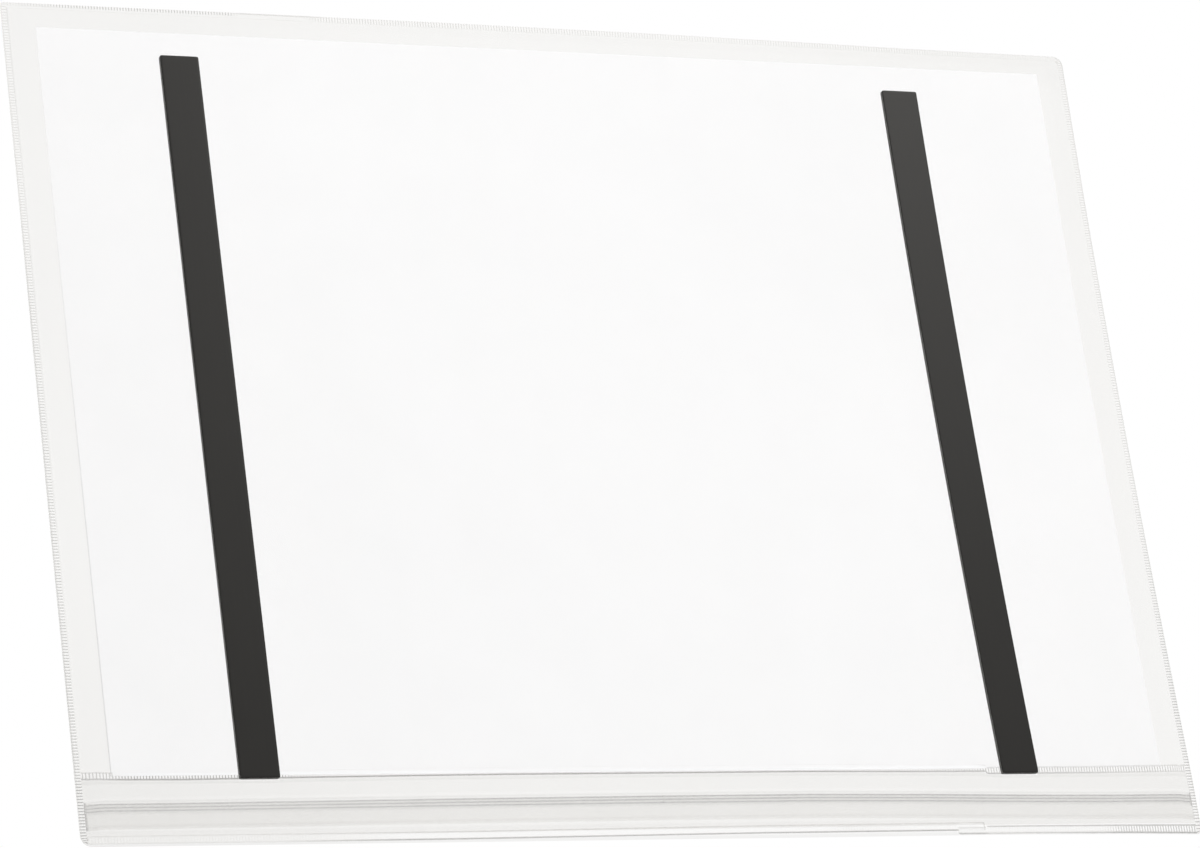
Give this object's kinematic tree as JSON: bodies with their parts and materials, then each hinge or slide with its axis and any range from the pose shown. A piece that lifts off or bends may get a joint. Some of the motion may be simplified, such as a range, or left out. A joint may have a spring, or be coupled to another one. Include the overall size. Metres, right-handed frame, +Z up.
{
  "type": "poster display pocket",
  "caption": "Clear film pocket welded round a wide sheet, with a press-seal zip flap along the bottom of its back and magnetic strips that hold it on a steel surface.",
  "frame": {"origin": "on the plane of the magnetic strips' rear faces, behind the middle of the pocket's outline", "axes": "+Z up, +Y out of the back towards the steel surface, -Y the display side, +X to the right as seen from the display side"},
  "size_m": [0.4454, 0.0045, 0.3326],
  "materials": {
    "clear_film": "gloss",
    "welded_film": "satin",
    "zip_tape": "gloss",
    "paper": "matte",
    "magnet": "satin",
    "adhesive": "matte"
  },
  "bodies": {
    "pocket": {"front_film": "clear_film", "back_film": "clear_film", "left_weld": "welded_film", "right_weld": "welded_film", "top_weld": "welded_film", "bottom_weld": "welded_film", "zip_seam": "welded_film", "zip_lower_tape": "zip_tape", "magnet_strip_left": "magnet", "magnet_strip_right": "magnet", "adhesive_left": "adhesive", "adhesive_right": "adhesive"},
    "zip_flap": {"zip_upper_tape": "zip_tape"},
    "insert": {"insert_sheet": "paper"}
  },
  "joints": [
    {"name": "zip_flap_hinge", "type": "hinge", "parent": "pocket", "child": "zip_flap", "pos_m": [0, -0.002, -0.14225], "axis": [1, 0, 0], "range_deg": [0, 90]},
    {"name": "insert_slide", "type": "slide", "parent": "pocket", "child": "insert", "axis": [0, 0, -1], "range_m": [-0.003, 0.285]}
  ]
}
